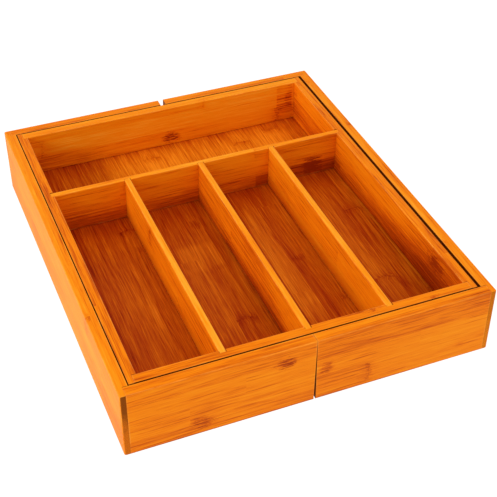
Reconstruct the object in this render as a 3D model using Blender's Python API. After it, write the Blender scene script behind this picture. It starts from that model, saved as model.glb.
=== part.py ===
"""Expandable bamboo drawer organizer insert.

A fixed compartment tray sits between two sliding U-shaped wings.  Each wing is
a side wall with half a front wall, half a back wall and a thin bottom panel.
Guide tongues set into the tray's front and back walls run in lengthwise grooves
inside the wing walls, and stop blocks glued in the grooves' free ends limit the
travel.

Units are metres in Blender.  The numbers below are millimetres in box
coordinates: x from the left face, y from the front face, z from the underside.
The model's origin is the middle of the underside, with the front towards -Y.
"""

import bmesh
import bpy
from mathutils import Vector

MM = 0.001

# ---------------------------------------------------------------- dimensions
WIDTH = 338.6  # closed, over the wings (x)
DEPTH = 402.0  # front to back (y)
HEIGHT = 67.6  # underside to top edge (z)

WING_WALL = 10.0  # thickness of the wing boards
TRAY_WALL = 9.2  # thickness of the tray boards
DIVIDER = 6.0  # thickness of all dividers
PANEL = 4.5  # thickness of the three bottom panels

GAP_LEFT = 0.8  # wing side wall to tray, left
GAP_RIGHT = 2.6  # the same, right: that wing rests a little open
GAP_ENDS = 1.0  # wing front and back walls to tray

TRAY_UNDERSIDE = 11.6  # the tray rides just above the wing panels
TRAY_FLOOR = 22.9  # upper face of the tray's bottom panel
WING_FLOOR = 11.1  # upper face of the wing panels

CROSS_FRONT = 274.4  # front face of the cross divider
DIVIDER_DROP = 0.3  # divider tops sit this much below the walls

SPLIT_FRONT = (168.5, 169.3)  # where the front half-walls end
SPLIT_BACK = (166.0, 171.8)  # the back half-walls stop shorter
PANEL_SPLIT = (168.0, 169.8)  # free edges of the wing panels

TONGUE_LAP = 5.0  # side-wall lip that laps a wing wall's end
TRAY_LAP = 5.0  # the same on the tray's corners
CORNER_RADIUS = 1.8  # outer upright corners
EDGE_ROUND = 0.9  # outer top edges
EDGE_EASE = 0.6  # all other exposed long edges

PANEL_GROOVE = 4.1  # depth of the grooves that hold the panels
DADO_WALL = 3.0  # depth of the housings in the tray walls
DADO_CROSS = 2.0  # depth of the housings in the cross divider

GUIDE_LENGTH = 40.0
GUIDE_Z = (37.6, 42.6)
GUIDE_INSET = 8.2  # from the tray's outer side to the guide's end
GUIDE_SET_IN = 4.0  # glued depth in the tray wall
GUIDE_GROOVE = 4.5  # depth of the running groove in the wing wall
GUIDE_CLEAR = 0.4  # running clearance above and below
GUIDE_TIP_GAP = 0.7  # guide tip to groove bottom

TRAVEL = 100.0  # how far each wing slides out
STOP_GAP = 0.3  # left between guide and stop block at full travel

GLUE = 0.15  # glue-line gap round each housed joint
LAP_GAP = 0.2  # visible hairline at a lapped corner

# ----------------------------------------------------------- derived figures
TRAY_L = WING_WALL + GAP_LEFT
TRAY_R = WIDTH - WING_WALL - GAP_RIGHT
TRAY_F = WING_WALL + GAP_ENDS
TRAY_B = DEPTH - WING_WALL - GAP_ENDS
IN_L, IN_R = TRAY_L + TRAY_WALL, TRAY_R - TRAY_WALL
IN_F, IN_B = TRAY_F + TRAY_WALL, TRAY_B - TRAY_WALL
SLOT = (IN_R - IN_L - 3 * DIVIDER) / 4
CROSS_BACK = CROSS_FRONT + DIVIDER
ORIGIN = Vector((WIDTH / 2, DEPTH / 2, 0.0))

BAMBOO = (0.83, 0.38, 0.085)
BAMBOO_DEEP = (0.62, 0.20, 0.045)
BAMBOO_PALE = (0.90, 0.50, 0.16)


def clear_scene():
    for obj in list(bpy.data.objects):
        bpy.data.objects.remove(obj)
    for store in (bpy.data.meshes, bpy.data.materials):
        for item in list(store):
            if item.users == 0:
                store.remove(item)


def new_collection(name):
    made = bpy.data.collections.new(name)
    bpy.context.scene.collection.children.link(made)
    return made


def bamboo(name, colour, roughness):
    mat = bpy.data.materials.new(name)
    mat.use_nodes = True
    shader = mat.node_tree.nodes["Principled BSDF"]
    shader.inputs["Base Color"].default_value = (*colour, 1.0)
    shader.inputs["Roughness"].default_value = roughness
    shader.inputs["Metallic"].default_value = 0.0
    mat.diffuse_color = (*colour, 1.0)
    return mat


def rig(name, place):
    """An empty on a joint's axis, at box coordinates in millimetres."""
    empty = bpy.data.objects.new(name, None)
    empty.location = (Vector(place) - ORIGIN) * MM
    empty.empty_display_size = 0.02
    PARTS.objects.link(empty)
    return empty


def block(name, lo, hi, collection, parent=None):
    """A rectangular block between two corners in box millimetres."""
    lo, hi = Vector(lo), Vector(hi)
    middle, size = (lo + hi) / 2, hi - lo
    bm = bmesh.new()
    bmesh.ops.create_cube(bm, size=1.0)
    bmesh.ops.scale(bm, vec=size * MM, verts=bm.verts)
    mesh = bpy.data.meshes.new(name)
    bm.to_mesh(mesh)
    bm.free()
    obj = bpy.data.objects.new(name, mesh)
    obj.location = (middle - ORIGIN) * MM
    collection.objects.link(obj)
    if parent is not None:
        obj.parent = parent
        obj.location = obj.location - parent.location
    obj["middle_mm"] = list(middle)
    return obj


def soften(obj, width, segments, test):
    """Rounds the edges whose middle and direction pass the test. The middle is in
    box millimetres."""
    middle = Vector(obj["middle_mm"])
    bm = bmesh.new()
    bm.from_mesh(obj.data)
    chosen = []
    for edge in bm.edges:
        a, b = (v.co / MM + middle for v in edge.verts)
        if test((a + b) / 2, (b - a).normalized()):
            chosen.append(edge)
    bmesh.ops.bevel(
        bm,
        geom=chosen,
        offset=width * MM,
        offset_type="OFFSET",
        segments=segments,
        profile=0.5,
        affect="EDGES",
        clamp_overlap=True,
    )
    bm.to_mesh(obj.data)
    bm.free()


def near(value, target):
    return abs(value - target) < 0.01


def cutter(name, lo, hi):
    obj = block(name, lo, hi, CUTTERS)
    obj.display_type = "WIRE"
    obj.hide_render = True
    return obj


def cut(obj, *tools):
    for tool in tools:
        mod = obj.modifiers.new("cut_" + tool.name, "BOOLEAN")
        mod.operation = "DIFFERENCE"
        mod.solver = "EXACT"
        mod.object = tool


def board(name, lo, hi, parent, colour=BAMBOO, roughness=0.32):
    obj = block(name, lo, hi, PARTS, parent)
    obj.data.materials.append(bamboo(name + "_bamboo", colour, roughness))
    return obj


clear_scene()
PARTS = new_collection("drawer_organizer_insert")
CUTTERS = new_collection("organizer_cutters")

TRAY = rig("tray_rig", (WIDTH / 2, DEPTH / 2, TRAY_UNDERSIDE))
GUIDE_MID = (GUIDE_Z[0] + GUIDE_Z[1]) / 2
LEFT = rig("left_wing_rig", (WIDTH / 2, DEPTH / 2, GUIDE_MID))
RIGHT = rig("right_wing_rig", (WIDTH / 2, DEPTH / 2, GUIDE_MID))

# ------------------------------------------------------------------- cutters
# Grooves for the bottom panels, each a little larger than its panel.
tray_panel_groove = cutter(
    "tray_panel_groove",
    (IN_L - PANEL_GROOVE, IN_F - PANEL_GROOVE, TRAY_FLOOR - PANEL - 0.2),
    (IN_R + PANEL_GROOVE, IN_B + PANEL_GROOVE, TRAY_FLOOR + 0.2),
)
wing_panel_groove = cutter(
    "wing_panel_groove",
    (WING_WALL - PANEL_GROOVE, WING_WALL - PANEL_GROOVE, WING_FLOOR - PANEL - 0.2),
    (
        WIDTH - WING_WALL + PANEL_GROOVE,
        DEPTH - WING_WALL + PANEL_GROOVE,
        WING_FLOOR + 0.2,
    ),
)

# Running grooves for the guide tongues, open at the half-walls' free ends.
groove_z = (GUIDE_Z[0] - GUIDE_CLEAR, GUIDE_Z[1] + GUIDE_CLEAR)
front_run = cutter(
    "front_running_groove",
    (TONGUE_LAP - 2, WING_WALL - GUIDE_GROOVE, groove_z[0]),
    (WIDTH - TONGUE_LAP + 2, WING_WALL + 3, groove_z[1]),
)
back_run = cutter(
    "back_running_groove",
    (TONGUE_LAP - 2, DEPTH - WING_WALL - 3, groove_z[0]),
    (WIDTH - TONGUE_LAP + 2, DEPTH - WING_WALL + GUIDE_GROOVE, groove_z[1]),
)


def corner_rabbets(tag, lap_x, face_x, front, back, thick):
    """The rebate at each end of a side wall that takes an end wall. lap_x is the
    lip's inner side, face_x the wall's inner face."""
    lo_x, hi_x = min(lap_x, face_x), max(lap_x, face_x)
    if face_x > lap_x:
        hi_x += 2
    else:
        lo_x -= 2
    low, high = -3.0, HEIGHT + 3.0
    return (
        cutter(tag + "_front", (lo_x, front - 3, low), (hi_x, front + thick + GLUE, high)),
        cutter(tag + "_back", (lo_x, back - thick - GLUE, low), (hi_x, back + 3, high)),
    )


left_rabbets = corner_rabbets(
    "left_wing_rabbet", TONGUE_LAP, WING_WALL, 0.0, DEPTH, WING_WALL
)
right_rabbets = corner_rabbets(
    "right_wing_rabbet", WIDTH - TONGUE_LAP, WIDTH - WING_WALL, 0.0, DEPTH, WING_WALL
)
tray_left_rabbets = corner_rabbets(
    "tray_left_rabbet", TRAY_L + TRAY_LAP, IN_L, TRAY_F, TRAY_B, TRAY_WALL
)
tray_right_rabbets = corner_rabbets(
    "tray_right_rabbet", TRAY_R - TRAY_LAP, IN_R, TRAY_F, TRAY_B, TRAY_WALL
)

# Housings for the dividers, open at the top.
cross_housing = cutter(
    "cross_divider_housing",
    (IN_L - DADO_WALL - GLUE, CROSS_FRONT - GLUE, TRAY_FLOOR - 1.0),
    (IN_R + DADO_WALL + GLUE, CROSS_BACK + GLUE, HEIGHT + 3),
)
DIVIDER_X = []
slot_housings = []
for i in range(3):
    x0 = IN_L + (i + 1) * SLOT + i * DIVIDER
    DIVIDER_X.append((x0, x0 + DIVIDER))
    slot_housings.append(
        cutter(
            "slot_divider_housing_%d" % (i + 1),
            (x0 - GLUE, IN_F - DADO_WALL - GLUE, TRAY_FLOOR - 1.0),
            (x0 + DIVIDER + GLUE, CROSS_FRONT + DADO_CROSS + GLUE, HEIGHT + 3),
        )
    )

# Where each guide tongue lies along x.
GUIDE_X = {
    "left": (TRAY_L + GUIDE_INSET, TRAY_L + GUIDE_INSET + GUIDE_LENGTH),
    "right": (TRAY_R - GUIDE_INSET - GUIDE_LENGTH, TRAY_R - GUIDE_INSET),
}
mortises = {}
for side, (x0, x1) in GUIDE_X.items():
    z0, z1 = GUIDE_Z[0] - GLUE, GUIDE_Z[1] + GLUE
    mortises["front", side] = cutter(
        "front_%s_mortise" % side,
        (x0 - GLUE, TRAY_F - 3, z0),
        (x1 + GLUE, TRAY_F + GUIDE_SET_IN, z1),
    )
    mortises["back", side] = cutter(
        "back_%s_mortise" % side,
        (x0 - GLUE, TRAY_B - GUIDE_SET_IN, z0),
        (x1 + GLUE, TRAY_B + 3, z1),
    )

# ---------------------------------------------------------------- tray body
top, base = HEIGHT, TRAY_UNDERSIDE


def ease_along(obj, axis, z=HEIGHT, width=EDGE_EASE, segments=2):
    soften(
        obj, width, segments, lambda m, d: near(m.z, z) and abs(d[axis]) > 0.99
    )


for side, x0, x1, rabbets in (
    ("left", TRAY_L, IN_L, tray_left_rabbets),
    ("right", IN_R, TRAY_R, tray_right_rabbets),
):
    wall = board(
        "tray_%s_wall" % side, (x0, TRAY_F, base), (x1, TRAY_B, top), TRAY
    )
    ease_along(wall, 1)
    cut(wall, *rabbets, tray_panel_groove, cross_housing)

front_span = (TRAY_L + TRAY_LAP + LAP_GAP, TRAY_R - TRAY_LAP - LAP_GAP)
for side, y0, y1 in (("front", TRAY_F, IN_F), ("back", IN_B, TRAY_B)):
    wall = board(
        "tray_%s_wall" % side,
        (front_span[0], y0, base),
        (front_span[1], y1, top),
        TRAY,
    )
    ease_along(wall, 0)
    cut(wall, tray_panel_groove, mortises[side, "left"], mortises[side, "right"])
    if side == "front":
        cut(wall, *slot_housings)

divider_top = HEIGHT - DIVIDER_DROP
divider_base = TRAY_FLOOR + 0.2
cross = board(
    "cross_divider",
    (IN_L - DADO_WALL, CROSS_FRONT, divider_base),
    (IN_R + DADO_WALL, CROSS_BACK, divider_top),
    TRAY,
)
ease_along(cross, 0, divider_top)
cut(cross, *slot_housings)

for i, (x0, x1) in enumerate(DIVIDER_X):
    divider = board(
        "slot_divider_%d" % (i + 1),
        (x0, IN_F - DADO_WALL, divider_base),
        (x1, CROSS_FRONT + DADO_CROSS, divider_top),
        TRAY,
    )
    ease_along(divider, 1, divider_top)

board(
    "tray_bottom_panel",
    (IN_L - PANEL_GROOVE + 0.3, IN_F - PANEL_GROOVE + 0.3, TRAY_FLOOR - PANEL),
    (IN_R + PANEL_GROOVE - 0.3, IN_B + PANEL_GROOVE - 0.3, TRAY_FLOOR),
    TRAY,
    BAMBOO_DEEP,
    0.38,
)

tip_front = WING_WALL - GUIDE_GROOVE + GUIDE_TIP_GAP
for side, (x0, x1) in GUIDE_X.items():
    board(
        "guide_tongue_front_%s" % side,
        (x0, tip_front, GUIDE_Z[0]),
        (x1, TRAY_F + GUIDE_SET_IN - GLUE, GUIDE_Z[1]),
        TRAY,
        BAMBOO_PALE,
        0.45,
    )
    board(
        "guide_tongue_back_%s" % side,
        (x0, TRAY_B - GUIDE_SET_IN + GLUE, GUIDE_Z[0]),
        (x1, DEPTH - tip_front, GUIDE_Z[1]),
        TRAY,
        BAMBOO_PALE,
        0.45,
    )

# -------------------------------------------------------------------- wings
for side, parent, rabbets in (
    ("left", LEFT, left_rabbets),
    ("right", RIGHT, right_rabbets),
):
    is_left = side == "left"
    outer, inner = (0.0, WING_WALL) if is_left else (WIDTH, WIDTH - WING_WALL)
    wall = board(
        "%s_side_wall" % side,
        (min(outer, inner), 0.0, 0.0),
        (max(outer, inner), DEPTH, HEIGHT),
        parent,
    )
    soften(
        wall,
        CORNER_RADIUS,
        5,
        lambda m, d: abs(d.z) > 0.99 and near(m.x, outer),
    )
    soften(
        wall,
        EDGE_ROUND,
        2,
        lambda m, d: near(m.z, HEIGHT) and not near(m.x, inner),
    )
    soften(
        wall,
        EDGE_EASE,
        1,
        lambda m, d: near(m.z, 0.0) and not near(m.x, inner),
    )
    soften(wall, EDGE_EASE, 1, lambda m, d: near(m.z, HEIGHT) and near(m.x, inner))
    cut(wall, *rabbets, wing_panel_groove)

    for end in ("front", "back"):
        split = (SPLIT_FRONT if end == "front" else SPLIT_BACK)[0 if is_left else 1]
        lap = TONGUE_LAP + LAP_GAP
        x0, x1 = (lap, split) if is_left else (split, WIDTH - lap)
        y0, y1 = (0.0, WING_WALL) if end == "front" else (DEPTH - WING_WALL, DEPTH)
        face = 0.0 if end == "front" else DEPTH
        wall = board(
            "%s_%s_wall" % (side, end), (x0, y0, 0.0), (x1, y1, HEIGHT), parent
        )
        soften(
            wall,
            EDGE_ROUND,
            2,
            lambda m, d: near(m.z, HEIGHT) and near(m.y, face) and abs(d.x) > 0.99,
        )
        soften(
            wall,
            EDGE_EASE,
            1,
            lambda m, d: abs(d.x) > 0.99
            and (
                (near(m.z, 0.0) and near(m.y, face))
                or (near(m.z, HEIGHT) and not near(m.y, face) and near(m.y, y0 + y1 - face))
            ),
        )
        cut(wall, wing_panel_groove, front_run if end == "front" else back_run)

        # The stop block fills the running groove from its stopping face to just
        # short of the half-wall's free end.
        g0, g1 = GUIDE_X[side]
        if is_left:
            s0, s1 = g1 + TRAVEL + STOP_GAP, split - 0.3
        else:
            s0, s1 = split + 0.3, g0 - TRAVEL - STOP_GAP
        if end == "front":
            b0, b1 = WING_WALL - GUIDE_GROOVE + GLUE, WING_WALL - GLUE
        else:
            b0, b1 = DEPTH - WING_WALL + GLUE, DEPTH - WING_WALL + GUIDE_GROOVE - GLUE
        board(
            "%s_%s_stop_block" % (side, end),
            (s0, b0, groove_z[0] + GLUE),
            (s1, b1, groove_z[1] - GLUE),
            parent,
            BAMBOO_PALE,
            0.45,
        )

    tucked = WING_WALL - PANEL_GROOVE + 0.3
    x0, x1 = (
        (tucked, PANEL_SPLIT[0]) if is_left else (PANEL_SPLIT[1], WIDTH - tucked)
    )
    board(
        "%s_bottom_panel" % side,
        (x0, tucked, WING_FLOOR - PANEL),
        (x1, DEPTH - tucked, WING_FLOOR),
        parent,
        BAMBOO_DEEP,
        0.38,
    )
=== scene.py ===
import math
import random

import bmesh
import bpy
from mathutils import Matrix, Vector


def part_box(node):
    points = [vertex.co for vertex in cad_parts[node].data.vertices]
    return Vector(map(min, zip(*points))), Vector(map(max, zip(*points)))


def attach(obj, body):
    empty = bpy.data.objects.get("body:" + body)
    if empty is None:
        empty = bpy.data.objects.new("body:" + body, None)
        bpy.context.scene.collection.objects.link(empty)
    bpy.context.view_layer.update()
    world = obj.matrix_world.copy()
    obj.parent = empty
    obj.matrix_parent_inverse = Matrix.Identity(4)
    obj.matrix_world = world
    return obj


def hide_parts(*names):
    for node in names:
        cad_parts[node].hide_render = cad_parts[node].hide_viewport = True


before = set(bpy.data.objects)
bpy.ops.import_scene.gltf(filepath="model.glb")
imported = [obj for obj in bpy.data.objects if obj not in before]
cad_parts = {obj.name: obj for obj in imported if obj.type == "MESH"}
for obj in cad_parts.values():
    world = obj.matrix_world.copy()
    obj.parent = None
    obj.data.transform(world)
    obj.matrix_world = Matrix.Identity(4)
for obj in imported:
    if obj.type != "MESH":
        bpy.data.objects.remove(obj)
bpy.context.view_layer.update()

MM = 0.001
X, Y, Z = 0, 1, 2
BOX = {n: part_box(n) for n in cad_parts}
# Marks, strips and the camera are placed in millimetres from this point, just inside the
# organizer's front left lower corner.
CORNER = BOX["left_side_wall"][0] + Vector((1.0, 1.0, 1.6)) * MM


# ------------------------------------------------------------------ mesh work
def block_mesh(name, lo, hi):
    """A closed block between two corners, in the row frame."""
    lo, hi = Vector(lo), Vector(hi)
    bm = bmesh.new()
    bmesh.ops.create_cube(bm, size=1.0)
    for v in bm.verts:
        v.co = Vector(((lo[i] + hi[i]) / 2 + v.co[i] * (hi[i] - lo[i]) for i in range(3)))
    mesh = bpy.data.meshes.new(name)
    bm.to_mesh(mesh)
    bm.free()
    return mesh


def soften(mesh, width_mm, segments, test):
    """Rounds the edges whose middle point and direction pass the test."""
    bm = bmesh.new()
    bm.from_mesh(mesh)
    chosen = []
    for e in bm.edges:
        a, b = e.verts[0].co, e.verts[1].co
        if test((a + b) / 2, (b - a).normalized()):
            chosen.append(e)
    if chosen:
        bmesh.ops.bevel(
            bm,
            geom=chosen,
            offset=width_mm * MM,
            offset_type="OFFSET",
            segments=segments,
            profile=0.5,
            affect="EDGES",
            clamp_overlap=True,
        )
    bm.to_mesh(mesh)
    bm.free()


def at(a, b):
    return abs(a - b) < 2e-5


def grown(box, dx, dy, dz):
    lo, hi = box
    d = Vector((dx, dy, dz)) * MM
    return lo - d, hi + d


def finish_piece(name, mesh, cutters):
    """Cuts the joints out of the board, then gives it its shading."""
    obj = bpy.data.objects.new(name, mesh)
    bpy.context.scene.collection.objects.link(obj)
    made = []
    for i, (lo, hi) in enumerate(cutters):
        tool = bpy.data.objects.new("cut_tool", block_mesh("cut_tool", lo, hi))
        bpy.context.scene.collection.objects.link(tool)
        made.append(tool)
        mod = obj.modifiers.new("cut%d" % i, "BOOLEAN")
        mod.operation, mod.solver, mod.object = "DIFFERENCE", "EXACT", tool
    if cutters:
        dg = bpy.context.evaluated_depsgraph_get()
        cut = bpy.data.meshes.new_from_object(obj.evaluated_get(dg), depsgraph=dg)
        obj.modifiers.clear()
        old, obj.data = obj.data, cut
        bpy.data.meshes.remove(old)
        for tool in made:
            data = tool.data
            bpy.data.objects.remove(tool)
            bpy.data.meshes.remove(data)
    obj.data.name = name
    obj.data.shade_smooth()
    obj.data.set_sharp_from_angle(angle=math.radians(40))
    mod = obj.modifiers.new("even_shading", "WEIGHTED_NORMAL")
    mod.mode, mod.weight, mod.keep_sharp = "FACE_AREA", 50, True
    return obj


# ------------------------------------------------------------------- bamboo
class Tree:
    """Short calls for building a shader tree."""

    def __init__(self, name):
        self.mat = bpy.data.materials.new(name)
        self.mat.use_nodes = True
        self.nt = self.mat.node_tree
        self.nt.nodes.clear()
        self.x = 0

    def node(self, kind, **props):
        n = self.nt.nodes.new(kind)
        self.x += 40
        n.location = (self.x, 0)
        for k, v in props.items():
            setattr(n, k, v)
        return n

    def put(self, socket, value):
        if isinstance(value, bpy.types.NodeSocket):
            self.nt.links.new(value, socket)
        else:
            socket.default_value = value

    def math(self, op, a, b=0.0, c=0.0, clamp=False):
        n = self.node("ShaderNodeMath", operation=op, use_clamp=clamp)
        self.put(n.inputs[0], a)
        self.put(n.inputs[1], b)
        self.put(n.inputs[2], c)
        return n.outputs[0]

    def vec(self, op, a, b=(0, 0, 0), scale=None):
        n = self.node("ShaderNodeVectorMath", operation=op)
        self.put(n.inputs[0], a)
        self.put(n.inputs[1], b)
        if scale is not None:
            self.put(n.inputs["Scale"], scale)
        return n.outputs["Value"] if op in ("LENGTH", "DOT_PRODUCT", "DISTANCE") else n.outputs[0]

    def combine(self, x, y, z):
        n = self.node("ShaderNodeCombineXYZ")
        for s, v in zip(n.inputs, (x, y, z)):
            self.put(s, v)
        return n.outputs[0]

    def separate(self, v):
        n = self.node("ShaderNodeSeparateXYZ")
        self.put(n.inputs[0], v)
        return n.outputs[0], n.outputs[1], n.outputs[2]

    def ramp01(self, value, lo, hi, out_lo=0.0, out_hi=1.0):
        """Smooth step from lo to hi."""
        n = self.node("ShaderNodeMapRange", interpolation_type="SMOOTHSTEP", clamp=True)
        self.put(n.inputs["Value"], value)
        n.inputs["From Min"].default_value = lo
        n.inputs["From Max"].default_value = hi
        n.inputs["To Min"].default_value = out_lo
        n.inputs["To Max"].default_value = out_hi
        return n.outputs["Result"]

    def noise(self, vector, scale=1.0, detail=2.0, rough=0.5, distortion=0.0):
        n = self.node("ShaderNodeTexNoise", noise_dimensions="3D")
        self.put(n.inputs["Vector"], vector)
        n.inputs["Scale"].default_value = scale
        n.inputs["Detail"].default_value = detail
        n.inputs["Roughness"].default_value = rough
        n.inputs["Distortion"].default_value = distortion
        return n.outputs["Fac"]

    def mix(self, fac, a, b, blend="MIX"):
        n = self.node("ShaderNodeMix", data_type="RGBA", blend_type=blend, clamp_factor=True)
        self.put(n.inputs[0], fac)
        self.put(n.inputs[6], a)
        self.put(n.inputs[7], b)
        return n.outputs[2]

    def ramp(self, fac, stops):
        n = self.node("ShaderNodeValToRGB")
        els = n.color_ramp.elements
        while len(els) < len(stops):
            els.new(0.5)
        for el, (pos, col) in zip(els, stops):
            el.position = pos
            el.color = (*col, 1.0)
        self.put(n.inputs[0], fac)
        return n.outputs[0]


WALL_RAMP = [
    (0.00, (0.300, 0.030, 0.0015)),
    (0.26, (0.600, 0.094, 0.0018)),
    (0.50, (0.860, 0.200, 0.0020)),
    (0.74, (0.920, 0.275, 0.0050)),
    (1.00, (0.960, 0.380, 0.0250)),
]
FLOOR_RAMP = [
    (0.00, (0.200, 0.010, 0.0010)),
    (0.26, (0.350, 0.030, 0.0012)),
    (0.50, (0.480, 0.068, 0.0018)),
    (0.74, (0.660, 0.140, 0.0030)),
    (1.00, (0.860, 0.240, 0.0090)),
]
RAW_RAMP = [
    (0.00, (0.420, 0.160, 0.040)),
    (0.30, (0.620, 0.300, 0.090)),
    (0.55, (0.780, 0.450, 0.170)),
    (1.00, (0.880, 0.600, 0.290)),
]


def bamboo(name, box, grain, across, seed, ramp=WALL_RAMP, strip=20.0, ply=4.6,
           tone=0.0, contrast=1.0, knots=(), fields=(), top=0.0, foot=None, wells=None,
           start=None, random_tone=0.24, gloss=0.52, nodes_every=300.0, gap=None, sole=None,
           rings=(0.50, 0.90), sawn=((0.36, 0.080, 0.004), (0.62, 0.160, 0.005))):
    """Laminated bamboo for one board. grain is the axis that the strips run along, across
    the axis they lie side by side on. Marks are placed in millimetres from CORNER, first
    along the grain and then across it.
    knots: (along, across, length, width, depth) dark marks.
    fields: (from, to, across from, across to, change, softness) paler or darker strips.
    top: how much paler the upper faces are; painted light on the faces that look up, painted
    shade where it is negative. foot: (floor height, reach, depth), painted shade that darkens
    the board down into a compartment, with a darker painted crease at the floor. wells:
    painted shade for the bottom panel, see there.
    gap: (axis, sign) of the face that looks into a running gap; painted shade makes it dark
    just below its edge.
    sole: the board's lowest edge is dark. rings: how strong the cane's node rings are, as
    the ends of a smooth step. sawn: the sawn ends' colours, at the top and the bottom."""
    t = Tree(name)
    lo, hi = box
    middle, half = (lo + hi) / 2, (hi - lo) / 2
    thick = 3 - grain - across
    coord = t.node("ShaderNodeTexCoord")
    local = t.vec("SUBTRACT", coord.outputs["Object"], tuple(middle))
    part = t.separate(local)
    g, a, b = part[grain], part[across], part[thick]

    # distance from the board's edges: the middle one of the three distances to a face
    d = [t.math("SUBTRACT", half[i], t.math("ABSOLUTE", part[i])) for i in range(3)]
    small = t.math("MINIMUM", d[0], d[1])
    large = t.math("MAXIMUM", d[0], d[1])
    edge = t.math("MAXIMUM", small, t.math("MINIMUM", large, d[2]))

    # strips side by side, in plies
    rnd = random.Random(seed)
    base = middle - CORNER
    mid_g, mid_a = base[grain] / MM, base[across] / MM
    first = rnd.uniform(0, strip) if start is None else start
    cells = math.ceil(1000.0 / strip)
    sa = t.math("DIVIDE", t.math("ADD", a, (mid_a - first + cells * strip) * MM), strip * MM)
    sb = t.math("DIVIDE", t.math("ADD", b, half[thick] + 1e-4), ply * MM)
    ia, ib = t.math("FLOOR", sa), t.math("FLOOR", sb)
    white = t.node("ShaderNodeTexWhiteNoise", noise_dimensions="3D")
    t.put(white.inputs["Vector"], t.combine(ia, ib, seed * 1.37 + 0.5))
    r1 = white.outputs["Value"]
    r2, r3, r4 = t.separate(white.outputs["Color"])

    # node rings of the bamboo: one across each strip about every 300 mm. The wood on
    # either side of a ring has its own tone.
    pos = t.math("ADD", t.math("DIVIDE", g, nodes_every * MM), t.math("ADD", r2, 10.0))
    cane = t.node("ShaderNodeTexWhiteNoise", noise_dimensions="3D")
    t.put(cane.inputs["Vector"], t.combine(
        ia, ib, t.math("ADD", t.math("FLOOR", t.math("ADD", pos, 0.5)), seed * 2.91)))
    r1 = t.math("ADD", t.math("MULTIPLY", r1, 0.5), t.math("MULTIPLY", cane.outputs["Value"], 0.5))
    in_strip = t.math("SUBTRACT", t.math("FRACT", sa), 0.5)
    bow = t.math("MULTIPLY", t.math("MULTIPLY", in_strip, in_strip), 0.012)
    wob = t.math("MULTIPLY", t.math("SUBTRACT", t.noise(local, 330.0, 3.0, 0.7), 0.5), 0.0140)
    off = t.math("MULTIPLY", t.math("SUBTRACT", t.math("FRACT", pos), 0.5), nodes_every * MM)
    off = t.math("ADD", off, t.math("ADD", bow, wob))
    ring_d = t.math("ABSOLUTE", off)
    strength = t.ramp01(r3, rings[0], rings[1])
    ring = t.math("MULTIPLY", t.ramp01(ring_d, 0.0022, 0.0002), strength)
    halo = t.math("MULTIPLY", t.ramp01(ring_d, 0.0120, 0.0010), strength)

    # marks that this board is known to have
    mark = None
    for kg, ka, kl, kw, deep in knots:
        p = t.combine(
            t.math("MULTIPLY", t.math("SUBTRACT", g, (kg - mid_g) * MM), 2.0 / (kl * MM)),
            t.math("MULTIPLY", t.math("SUBTRACT", a, (ka - mid_a) * MM), 2.0 / (kw * MM)),
            0.0,
        )
        rag = t.math("MULTIPLY", t.math("SUBTRACT", t.noise(local, 420.0, 3.0, 0.65), 0.5), 1.0)
        fibre = t.noise(t.combine(
            t.math("MULTIPLY", g, 110.0), t.math("MULTIPLY", a, 900.0), seed * 1.9), 1.0, 2.0, 0.6)
        rag = t.math("ADD", rag, t.math("MULTIPLY", t.math("SUBTRACT", fibre, 0.5), 2.4))
        m = t.math("MULTIPLY", t.ramp01(t.math("ADD", t.vec("LENGTH", p), rag), 1.20, 0.20), deep)
        m = t.math("MULTIPLY", m, t.ramp01(fibre, 0.68, 0.38, 0.45, 1.15))
        mark = m if mark is None else t.math("MAXIMUM", mark, m)

    # fibres: long streaks that bend a little, more so near a ring
    low = t.noise(t.combine(t.math("MULTIPLY", g, 7.0), t.math("MULTIPLY", a, 26.0), seed * 3.1), 1.0, 2.0)
    bend = t.math("MULTIPLY", t.math("SUBTRACT", low, 0.5), 0.006)
    swirl = t.math("MULTIPLY", t.math("SUBTRACT", t.noise(local, 120.0, 1.0), 0.5), 0.006)
    bend = t.math("ADD", bend, t.math("MULTIPLY", swirl, halo))
    aw = t.math("ADD", a, bend)
    aw0 = t.math("ADD", a, t.math("MULTIPLY", bend, 0.3))
    gs = t.math("ADD", g, t.math("MULTIPLY", r4, 3.0))
    bs = t.math("ADD", b, t.math("MULTIPLY", r1, 2.0))

    def streaks(kg, ka, kb, detail, rough):
        v = t.combine(
            t.math("MULTIPLY", gs, kg), t.math("MULTIPLY", aw, ka), t.math("MULTIPLY", bs, kb)
        )
        return t.noise(v, 1.0, detail, rough)

    broad = streaks(8.0, 110.0, 110.0, 2.0, 0.55)
    medium = streaks(16.0, 520.0, 520.0, 3.0, 0.72)
    fine = streaks(60.0, 1700.0, 1700.0, 2.0, 0.60)
    cloud = t.noise(t.combine(t.math("MULTIPLY", g, 10.0), t.math("MULTIPLY", a, 22.0), seed * 7.7), 1.0, 2.0)

    def term(v, k):
        return t.math("MULTIPLY", t.math("SUBTRACT", v, 0.5), k * contrast)

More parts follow.
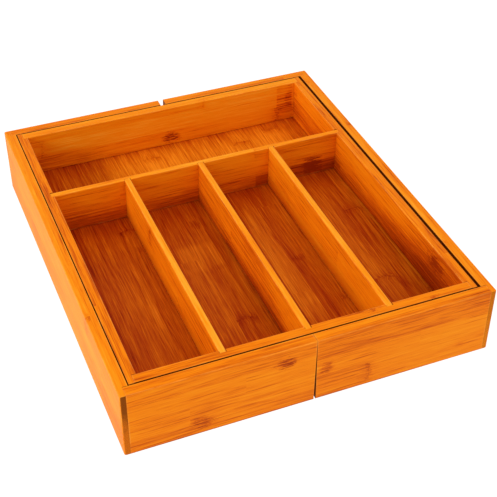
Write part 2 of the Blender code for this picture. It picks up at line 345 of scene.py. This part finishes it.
    shade = t.math("ADD", 0.5 + tone, term(r1, random_tone))
    normals = t.separate(coord.outputs["Normal"])
    for g0, g1, a0, a1, change, soft in fields:
        inside = t.math(
            "MULTIPLY",
            t.ramp01(g, (g0 - mid_g - soft) * MM, (g0 - mid_g + soft) * MM),
            t.ramp01(g, (g1 - mid_g + soft) * MM, (g1 - mid_g - soft) * MM),
        )
        inside = t.math("MULTIPLY", inside, t.math(
            "MULTIPLY",
            t.ramp01(aw0, (a0 - mid_a - 0.8) * MM, (a0 - mid_a + 0.8) * MM),
            t.ramp01(aw0, (a1 - mid_a + 0.8) * MM, (a1 - mid_a - 0.8) * MM),
        ))
        if soft < 1.0:
            inside = t.math("MULTIPLY", inside, t.ramp01(medium, 0.66, 0.34, 0.10, 1.40))
        shade = t.math("ADD", shade, t.math("MULTIPLY", inside, change))
    # painted light: the faces that look up are made paler by top, darker where top is negative
    if top:
        shade = t.math("ADD", shade, t.math("MULTIPLY", t.ramp01(normals[Z], 0.60, 0.92), top))
    # painted shade: darker down towards the compartment's floor over reach mm, darker still within 2.2 mm of it
    if foot:
        level, reach, deep = foot
        z = (level - base.z / MM) * MM
        down = t.ramp01(part[Z], z + reach * MM, z)
        painted_crease_line = t.ramp01(part[Z], z + 2.2 * MM, z)
        shade = t.math("SUBTRACT", shade, t.math("MULTIPLY", down, deep))
        shade = t.math("SUBTRACT", shade, t.math("MULTIPLY", painted_crease_line, 0.12))
    if wells:
        shade = t.math("SUBTRACT", shade, wells(t, part, base))
    # painted shade: a dark band along the board's lowest 2 mm, where it meets the floor
    if sole:
        low_line = t.ramp01(part[Z], -half.z + 2.0 * MM, -half.z + 0.5 * MM)
        shade = t.math("SUBTRACT", shade, t.math("MULTIPLY", low_line, 0.30))
    shade = t.math("ADD", shade, term(broad, 0.26))
    shade = t.math("ADD", shade, term(medium, 0.88))
    shade = t.math("ADD", shade, term(fine, 0.55))
    shade = t.math("ADD", shade, term(cloud, 0.34))
    # dark fibre bundles, thin and long
    bundle = t.ramp01(medium, 0.40, 0.30)
    shade = t.math("SUBTRACT", shade, t.math("MULTIPLY", bundle, 0.12 * contrast))
    shade = t.math("SUBTRACT", shade, t.math("MULTIPLY", halo, 0.10))
    shade = t.math("SUBTRACT", shade, t.math("MULTIPLY", ring, 0.15))
    if mark is not None:
        shade = t.math("SUBTRACT", shade, mark)
    # glue seams between strips
    seam_a = t.math("MULTIPLY", t.math("SUBTRACT", 0.5, t.math("ABSOLUTE", in_strip)), strip * MM)
    seam = t.ramp01(seam_a, 0.00030, 0.00005)
    shade = t.math("SUBTRACT", shade, t.math("MULTIPLY", seam, 0.10))
    colour = t.ramp(shade, ramp)

    # sawn ends: darker, with the dots of the fibre bundles
    normal = normals[grain]
    end = t.ramp01(t.math("ABSOLUTE", normal), 0.55, 0.95)
    dots = t.node("ShaderNodeTexVoronoi", feature="F1", voronoi_dimensions="2D")
    t.put(dots.inputs["Vector"], t.combine(a, b, 0.0))
    dots.inputs["Scale"].default_value = 1250.0
    dot = t.ramp01(dots.outputs["Distance"], 0.42, 0.22)
    high, low_ = sawn
    down = t.ramp01(t.math("ADD", part[Z], t.math("MULTIPLY", term(broad, 1.0), 0.05)),
                    0.45 * half.z, -0.45 * half.z)
    ground = t.mix(down, (*high, 1), (*low_, 1))
    ground = t.mix(t.math("MULTIPLY", dot, 0.60), ground, (0.45, 0.32, 0.30, 1), "MULTIPLY")
    colour = t.mix(t.math("MULTIPLY", end, 0.95), colour, ground)

    # rubbed edges, partly wear and partly painted highlight: paler near the edges, where the varnish is thin and
    # where rounded edges catch the light, broken up along the length
    edge_breakup = t.noise(local, 55.0, 4.0, 0.7)
    wear_and_highlight = t.math("MULTIPLY", t.ramp01(edge, 0.0013, 0.0002), t.ramp01(edge_breakup, 0.38, 0.62, 0.25, 1.0))
    pale = t.mix(0.5, colour, (0.98, 0.46, 0.10, 1))
    wear_and_highlight = t.math("MULTIPLY", wear_and_highlight, t.math("SUBTRACT", 1.0, t.math("MULTIPLY", end, 0.75)))
    colour = t.mix(t.math("MULTIPLY", wear_and_highlight, 0.50), colour, pale)
    # painted shade: the face that looks into a running gap is made near black-red in its top 2 mm, fading out by
    # 4.4 mm
    if gap:
        axis, sign = gap
        facing = t.ramp01(t.math("MULTIPLY", normals[axis], sign), 0.30, 0.65)
        facing = t.math("MULTIPLY", facing, t.ramp01(part[Z], half.z - 4.4 * MM, half.z - 2.0 * MM))
        colour = t.mix(t.math("MULTIPLY", facing, 0.90), colour, (0.070, 0.004, 0.0004, 1))

    rough = t.math("ADD", gloss - 0.06, t.math("MULTIPLY", fine, 0.12))
    rough = t.math("ADD", rough, t.math("MULTIPLY", wear_and_highlight, 0.10))
    rough = t.math("ADD", rough, t.math("MULTIPLY", end, 0.18))
    if gap:
        rough = t.math("ADD", rough, t.math("MULTIPLY", facing, 0.45))

    height = t.math("MULTIPLY", fine, 0.45)
    height = t.math("ADD", height, t.math("MULTIPLY", medium, 0.55))
    height = t.math("SUBTRACT", height, t.math("MULTIPLY", seam, 0.5))
    height = t.math("ADD", height, t.math("MULTIPLY", halo, 0.35))
    height = t.math("SUBTRACT", height, t.math("MULTIPLY", t.math("MULTIPLY", dot, end), 0.5))
    bump = t.node("ShaderNodeBump")
    bump.inputs["Strength"].default_value = 0.22
    bump.inputs["Distance"].default_value = 0.00025
    t.put(bump.inputs["Height"], height)

    shader = t.node("ShaderNodeBsdfPrincipled")
    t.put(shader.inputs["Base Color"], colour)
    t.put(shader.inputs["Roughness"], rough)
    t.put(shader.inputs["Normal"], bump.outputs[0])
    shader.inputs["IOR"].default_value = 1.4
    shader.inputs["Specular IOR Level"].default_value = 0.13
    shader.inputs["Specular Tint"].default_value = (1.0, 0.40, 0.02, 1)
    out = t.node("ShaderNodeOutputMaterial")
    t.put(out.inputs["Surface"], shader.outputs[0])
    t.mat.diffuse_color = (*ramp[2][1], 1.0)
    return t.mat


# ------------------------------------------------------------------- boards
def add(name, node, body, slot, mesh, cutters, **look):
    obj = finish_piece(name, mesh, cutters)
    look.setdefault("box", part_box(node))
    obj.data.materials.clear()
    obj.data.materials.append(bamboo("bamboo_" + name, **look))
    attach(obj, body)
    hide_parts(node)
    return obj


def dim(d, axis):
    return abs(d[axis]) > 0.99


panel_cut = {
    "tray": grown(BOX["tray_bottom_panel"], 0.3, 0.3, 0.2),
    "left": grown(BOX["left_bottom_panel"], 0.3, 0.3, 0.2),
    "right": grown(BOX["right_bottom_panel"], 0.3, 0.3, 0.2),
}
# the wings' panel grooves run on past the panels' free edges
panel_cut["left"][1].x += 6 * MM
panel_cut["right"][0].x -= 6 * MM


def housing(node, over=3.0):
    lo, hi = grown(BOX[node], 0.15, 0.15, 0.0)
    lo.z -= 1.2 * MM
    hi.z += over * MM
    return lo, hi


def rabbets(front, back, wall, lap_gap=0.04, glue=0.15):
    """Where a side wall is cut away at both ends for the end walls."""
    cuts = []
    wlo, whi = BOX[wall]
    for node, sign in ((front, -1), (back, 1)):
        lo, hi = BOX[node]
        left_side = (wlo.x + whi.x) / 2 < (lo.x + hi.x) / 2
        if left_side:
            x0, x1 = lo.x - lap_gap * MM, whi.x + 2 * MM
        else:
            x0, x1 = wlo.x - 2 * MM, hi.x + lap_gap * MM
        if sign < 0:
            y0, y1 = lo.y - 3 * MM, hi.y + glue * MM
        else:
            y0, y1 = lo.y - glue * MM, hi.y + 3 * MM
        cuts.append((Vector((x0, y0, wlo.z - 3 * MM)), Vector((x1, y1, whi.z + 3 * MM))))
    return cuts


# Tray side walls
for side in ("left", "right"):
    node = "tray_%s_wall" % side
    lo, hi = BOX[node]
    mesh = block_mesh(node, lo, hi)
    soften(mesh, 0.6, 3, lambda m, d: at(m.z, hi.z) and dim(d, Y))
    soften(mesh, 0.5, 2, lambda m, d: at(m.z, lo.z) and dim(d, Y))
    outer = lo.x if side == "left" else hi.x
    soften(mesh, 0.5, 2, lambda m, d: dim(d, Z) and at(m.x, outer))
    add("fine_" + node, node, "tray", "tray_wall_bamboo", mesh,
        rabbets("tray_front_wall", "tray_back_wall", node)
        + [panel_cut["tray"], housing("cross_divider")],
        grain=Y, across=Z, seed=11 if side == "left" else 12, strip=19.5,
        foot=(21.3, 30.0, 0.24 if side == "left" else 0.15), gap=(X, -1 if side == "left" else 1),
        tone=-0.02 if side == "left" else -0.09, top=-0.07 if side == "left" else -0.02,
        fields=[] if side == "left" else [(0, 110, 21, 65, -0.17, 30)],
        knots=[] if side == "left" else [(65.0, 52.0, 28, 16, 0.40), (50, 40, 60, 16, 0.12)])

# Tray front and back walls
for end in ("front", "back"):
    node = "tray_%s_wall" % end
    lo, hi = BOX[node]
    mesh = block_mesh(node, lo, hi)
    soften(mesh, 0.6, 3, lambda m, d: at(m.z, hi.z) and dim(d, X))
    soften(mesh, 0.5, 2, lambda m, d: at(m.z, lo.z) and dim(d, X))
    cuts = [panel_cut["tray"]]
    cuts += [grown(BOX["guide_tongue_%s_%s" % (end, s)], 0.15, 0.15, 0.15) for s in ("left", "right")]
    if end == "front":
        cuts += [housing("slot_divider_%d" % i) for i in (1, 2, 3)]
    add("fine_" + node, node, "tray", "tray_wall_bamboo", mesh, cuts,
        grain=X, across=Z, seed=21 if end == "front" else 22, strip=19.5,
        tone=0.0 if end == "front" else 0.12, top=0.0 if end == "front" else 0.04,
        foot=(21.3, 26.0, 0.20 if end == "front" else 0.05), gap=(Y, -1 if end == "front" else 1),
        fields=[] if end == "front" else [
            (0, 80, 18, 42, -0.15, 24), (40, 294, 18, 66, 0.08, 30), (200, 294, 18, 66, 0.07, 26),
            (295.4, 313.5, 35.3, 64.0, -0.30, 0.8)],
        knots=[] if end == "front" else [(172.8, 29.5, 20, 13, 0.60), (309.0, 50, 9, 24, 0.22)])

# Dividers
node = "cross_divider"
lo, hi = BOX[node]
mesh = block_mesh(node, lo, hi)
soften(mesh, 1.0, 4, lambda m, d: at(m.z, hi.z) and dim(d, X))
add("fine_" + node, node, "tray", "divider_bamboo", mesh,
    [housing("slot_divider_%d" % i) for i in (1, 2, 3)],
    grain=X, across=Z, seed=31, strip=18.0, ply=6.2, tone=0.05, top=0.20, foot=(21.3, 34.0, 0.34),
    fields=[(280.5, 301.0, 19.5, 42.0, -0.12, 0.9)],
    knots=[(288.5, 33.5, 20, 20, 0.46)])
for i in (1, 2, 3):
    node = "slot_divider_%d" % i
    lo, hi = BOX[node]
    mesh = block_mesh(node, lo, hi)
    soften(mesh, 1.0, 4, lambda m, d: at(m.z, hi.z) and dim(d, Y))
    add("fine_" + node, node, "tray", "divider_bamboo", mesh, [],
        grain=Y, across=Z, seed=40 + i, strip=18.0, ply=6.2, top=(0.32, 0.34, 0.26)[i - 1],
        tone=(0.04, -0.08, 0.05)[i - 1], foot=(21.3, 24.0, (0.0, 0.16, 0.10)[i - 1]))

# Bottom panels
def paint_compartment_shade(t, part, base):
    """Painted shade for the tray's bottom: how much darker a point is towards the walls and into the corners of its
    compartment, less the painted light along the right side of each long slot.
    """
    c = (BOX["tray_bottom_panel"][0] + BOX["tray_bottom_panel"][1]) / 2
    left, right = BOX["tray_left_wall"][1].x - c.x, BOX["tray_right_wall"][0].x - c.x
    front, back_ = BOX["tray_front_wall"][1].y - c.y, BOX["tray_back_wall"][0].y - c.y
    cross_f, cross_b = BOX["cross_divider"][0].y - c.y, BOX["cross_divider"][1].y - c.y
    thick = BOX["slot_divider_1"][1].x - BOX["slot_divider_1"][0].x
    pitch = (right - left + thick) / 4
    x, y = part[X], part[Y]
    u = t.math("MULTIPLY", t.math("FRACT", t.math("DIVIDE", t.math("SUBTRACT", x, left), pitch)), pitch)
    to_right = t.math("SUBTRACT", pitch - thick, u)
    slot_x = t.math("MINIMUM", u, to_right)
    rear_x = t.math("MINIMUM", t.math("SUBTRACT", x, left), t.math("SUBTRACT", right, x))
    slot_y = t.math("MINIMUM", t.math("SUBTRACT", y, front), t.math("SUBTRACT", cross_f, y))
    rear_y = t.math("MINIMUM", t.math("SUBTRACT", y, cross_b), t.math("SUBTRACT", back_, y))
    rear = t.math("GREATER_THAN", y, (cross_f + cross_b) / 2)
    slot = t.math("SUBTRACT", 1.0, rear)
    dx = t.math("ADD", t.math("MULTIPLY", rear_x, rear), t.math("MULTIPLY", slot_x, slot))
    dy = t.math("ADD", t.math("MULTIPLY", rear_y, rear), t.math("MULTIPLY", slot_y, slot))
    # painted shade: darker within 34 mm of a compartment's side walls
    dark = t.math("MULTIPLY", t.ramp01(dx, 0.034, 0.0), 0.13)
    # painted light along the right side of each long slot, lifting it out of the divider's shade
    painted_light = t.math("MULTIPLY", t.ramp01(to_right, 0.027, 0.001), slot)
    dark = t.math("SUBTRACT", dark, t.math("MULTIPLY", painted_light, 0.32))
    # painted shade: darker within 34 mm of a compartment's end walls
    dark = t.math("ADD", dark, t.math("MULTIPLY", t.ramp01(dy, 0.034, 0.0), 0.13))
    # painted shade: a darker crease within 2.2 mm of the nearest wall
    nearest = t.math("MINIMUM", dx, dy)
    return t.math("ADD", dark, t.math("MULTIPLY", t.ramp01(nearest, 0.0022, 0.0), 0.12))


for node, body, seed in (
    ("tray_bottom_panel", "tray", 51),
    ("left_bottom_panel", "left_wing", 52),
    ("right_bottom_panel", "right_wing", 53),
):
    lo, hi = BOX[node]
    mesh = block_mesh(node, lo, hi)
    soften(mesh, 0.4, 2, lambda m, d: not dim(d, Z))
    tray = node.startswith("tray")
    add("fine_" + node, node, body, "panel_bamboo", mesh, [],
        grain=Y, across=X, seed=seed, ramp=FLOOR_RAMP, strip=20.0, ply=9.0, start=13.0,
        random_tone=0.20, contrast=1.15, gloss=0.50, nodes_every=270.0,
        wells=paint_compartment_shade if tray else None,
        knots=[(219, 84, 12, 9, 0.16), (237, 147, 16, 11, 0.20), (168, 146, 9, 12, 0.12),
               (152, 222, 10, 16, 0.18), (85, 297, 22, 12, 0.16)] if tray else [],
        fields=[(70, 232, 193, 213, 0.20, 24), (168, 206, 113, 153, 0.14, 5),
                (120, 262, 33, 73, 0.10, 40), (20, 262, 62, 84, 0.07, 40),
                (20, 110, 164, 230, -0.05, 30),
                (20, 168, 113, 153, 0.03, 5), (30, 240, 53, 73, 0.08, 12),
                (110, 215, 262, 284, 0.10, 20), (20, 90, 253, 316, -0.12, 14),
                (280, 381, 33, 53, 0.04, 12), (280, 381, 53, 73, 0.13, 12),
                (280, 381, 73, 93, 0.20, 12), (280, 381, 93, 273, 0.34, 12),
                (280, 381, 273, 320, 0.28, 12)] if tray else [])

# Guide tongues: rounded ends so that they run freely
for end in ("front", "back"):
    for side in ("left", "right"):
        node = "guide_tongue_%s_%s" % (end, side)
        lo, hi = BOX[node]
        mesh = block_mesh(node, lo, hi)
        tip = lo.y if end == "front" else hi.y
        soften(mesh, 1.6, 5, lambda m, d: dim(d, Z) and at(m.y, tip))
        soften(mesh, 0.5, 3, lambda m, d: dim(d, X) and at(m.y, tip))
        add("fine_" + node, node, "tray", "raw_bamboo", mesh, [],
            grain=X, across=Y, seed=61 + len(node), ramp=RAW_RAMP, strip=12.0,
            gloss=0.5)

# Wings
for side, body in (("left", "left_wing"), ("right", "right_wing")):
    is_left = side == "left"
    node = side + "_side_wall"
    lo, hi = BOX[node]
    outer, inner = (lo.x, hi.x) if is_left else (hi.x, lo.x)
    mesh = block_mesh(node, lo, hi)
    soften(mesh, 1.7, 6, lambda m, d: dim(d, Z) and at(m.x, outer))
    soften(mesh, 0.9, 4, lambda m, d: at(m.z, hi.z) and not at(m.x, inner))
    soften(mesh, 0.5, 2, lambda m, d: at(m.z, lo.z) and not at(m.x, inner))
    soften(mesh, 0.5, 2, lambda m, d: dim(d, Y) and at(m.x, inner))
    # painted light: the left side wall's tone is raised to make its outer face paler, and top makes the right side
    # wall's upper faces paler
    add("fine_" + node, node, body, "wing_wall_bamboo", mesh,
        rabbets(side + "_front_wall", side + "_back_wall", node) + [panel_cut[side]],
        grain=Y, across=Z, seed=71 if is_left else 72, strip=20.5,
        gap=(X, 1 if is_left else -1), sole=True, tone=0.08 if is_left else 0.0,
        top=0.0 if is_left else 0.13,
        sawn=((0.22, 0.048, 0.0025), (0.62, 0.140, 0.004)) if is_left
        else ((0.60, 0.160, 0.004), (0.74, 0.205, 0.006)))
    for end in ("front", "back"):
        node = "%s_%s_wall" % (side, end)
        lo, hi = BOX[node]
        face = lo.y if end == "front" else hi.y
        back = hi.y if end == "front" else lo.y
        free = hi.x if is_left else lo.x
        mesh = block_mesh(node, lo, hi)
        soften(mesh, 0.9, 4, lambda m, d: at(m.z, hi.z) and at(m.y, face) and dim(d, X))
        soften(mesh, 0.5, 2, lambda m, d: at(m.z, lo.z) and at(m.y, face) and dim(d, X))
        soften(mesh, 0.5, 2, lambda m, d: dim(d, X) and at(m.y, back))
        tongue = BOX["guide_tongue_%s_%s" % (end, side)]
        y0, y1 = sorted((
            (tongue[0].y if end == "front" else tongue[1].y) + (-0.7 * MM if end == "front" else 0.7 * MM),
            back + (3 * MM if end == "front" else -3 * MM),
        ))
        run = (
            Vector((lo.x - 2 * MM, y0, tongue[0].z - 0.4 * MM)),
            Vector((hi.x + 2 * MM, y1, tongue[1].z + 0.4 * MM)),
        )
        if end == "front":
            # the free ends were sawn a touch out of square: the tops all but meet
            for v in mesh.vertices:
                if abs(v.co.x - free) < 1.5 * MM:
                    k = (hi.z - v.co.z) / (hi.z - lo.z)
                    v.co.x += (-1 if is_left else 1) * (k * 0.90 - 0.32) * MM
        knots = {
            "left_front_wall": [(66.2, 11.0, 22, 13, 0.30), (140.4, 50.0, 18, 13, 0.42)],
            "right_front_wall": [(178.0, 32.0, 13, 14, 0.32), (307.0, 12.6, 14, 7, 0.12)],
        }.get(node, [])
        add("fine_" + node, node, body, "wing_wall_bamboo", mesh,
            [panel_cut[side], run], grain=X, across=Z,
            seed={"left_front_wall": 81, "right_front_wall": 82, "left_back_wall": 83, "right_back_wall": 84}[node],
            strip=20.5, knots=knots, gap=(Y, 1 if end == "front" else -1), sole=True,
            # painted shade: the front walls' sawn ends are made near black-brown, a dark seam where the two halves
            # meet
            tone=0.03, **({"sawn": ((0.16, 0.024, 0.0014), (0.20, 0.030, 0.0016))}
                          if end == "front" else {}))
        node = "%s_%s_stop_block" % (side, end)
        lo, hi = BOX[node]
        mesh = block_mesh(node, lo, hi)
        soften(mesh, 0.4, 2, lambda m, d: True)
        add("fine_" + node, node, body, "raw_bamboo", mesh, [],
            grain=X, across=Z, seed=91 + len(node), ramp=RAW_RAMP, strip=12.0,
            gloss=0.5)


# ------------------------------------------------------------- floor, lights
bpy.ops.mesh.primitive_plane_add(size=6.0, location=(0, 0, -0.0004))
floor = bpy.context.object
floor.name = "studio_floor"
mat = bpy.data.materials.new("studio_floor")
mat.use_nodes = True
sh = mat.node_tree.nodes["Principled BSDF"]
sh.inputs["Base Color"].default_value = (0.15, 0.15, 0.15, 1)
sh.inputs["Roughness"].default_value = 0.9
sh.inputs["Specular IOR Level"].default_value = 0.0
sh.inputs["Emission Color"].default_value = (1, 1, 1, 1)
sh.inputs["Emission Strength"].default_value = 0.95
floor.data.materials.append(mat)

world = bpy.data.worlds.new("tent")
bpy.context.scene.world = world
world.use_nodes = True
bg = world.node_tree.nodes["Background"]
bg.inputs["Color"].default_value = (1.0, 1.0, 1.0, 1)
bg.inputs["Strength"].default_value = 0.75


def soft_light(name, azimuth, elevation, distance, level, wide, high=None, target=(0, 0, 0.03)):
    """A soft box seen from the target at azimuth (0 is the front, + to the right) and
    elevation; level is how brightly it lights a white card that faces it."""
    az, el = math.radians(azimuth), math.radians(elevation)
    way = Vector((math.sin(az) * math.cos(el), -math.cos(az) * math.cos(el), math.sin(el)))
    data = bpy.data.lights.new(name, "AREA")
    data.shape = "RECTANGLE"
    data.size = wide
    data.size_y = high if high else wide
    data.energy = level * math.pi ** 2 * distance ** 2
    obj = bpy.data.objects.new(name, data)
    bpy.context.scene.collection.objects.link(obj)
    obj.location = Vector(target) + way * distance
    obj.rotation_euler = (-way).to_track_quat("-Z", "Y").to_euler()
    return obj


soft_light("key", 50, 62, 2.2, 0.18, 1.3)
soft_light("side", -86, 27, 2.2, 0.46, 1.5, 0.5)

# ------------------------------------------------------------------- camera
az, el, roll = math.radians(-22.31), math.radians(39.04), math.radians(0.334)
back = Vector((math.sin(az) * math.cos(el), -math.cos(az) * math.cos(el), math.sin(el)))
right = Vector((math.cos(az), math.sin(az), 0.0))
up = back.cross(right)
right2 = right * math.cos(roll) + up * math.sin(roll)
up2 = up * math.cos(roll) - right * math.sin(roll)
aim = CORNER + Vector((172.8, 161.3, 40.0)) * MM
place = aim + back * 1.0614
cam = bpy.data.cameras.new("camera")
cam.sensor_width = 36.0
cam.lens = 82.27
cam.clip_start, cam.clip_end = 0.05, 50.0
cam_obj = bpy.data.objects.new("camera", cam)
bpy.context.scene.collection.objects.link(cam_obj)
cam_obj.matrix_world = Matrix((
    (right2.x, up2.x, back.x, place.x),
    (right2.y, up2.y, back.y, place.y),
    (right2.z, up2.z, back.z, place.z),
    (0, 0, 0, 1),
))
bpy.context.scene.camera = cam_obj

scene = bpy.context.scene
scene.view_settings.view_transform = "Standard"
scene.view_settings.look = "None"
scene.view_settings.exposure = 0.0
scene.view_settings.gamma = 1.0
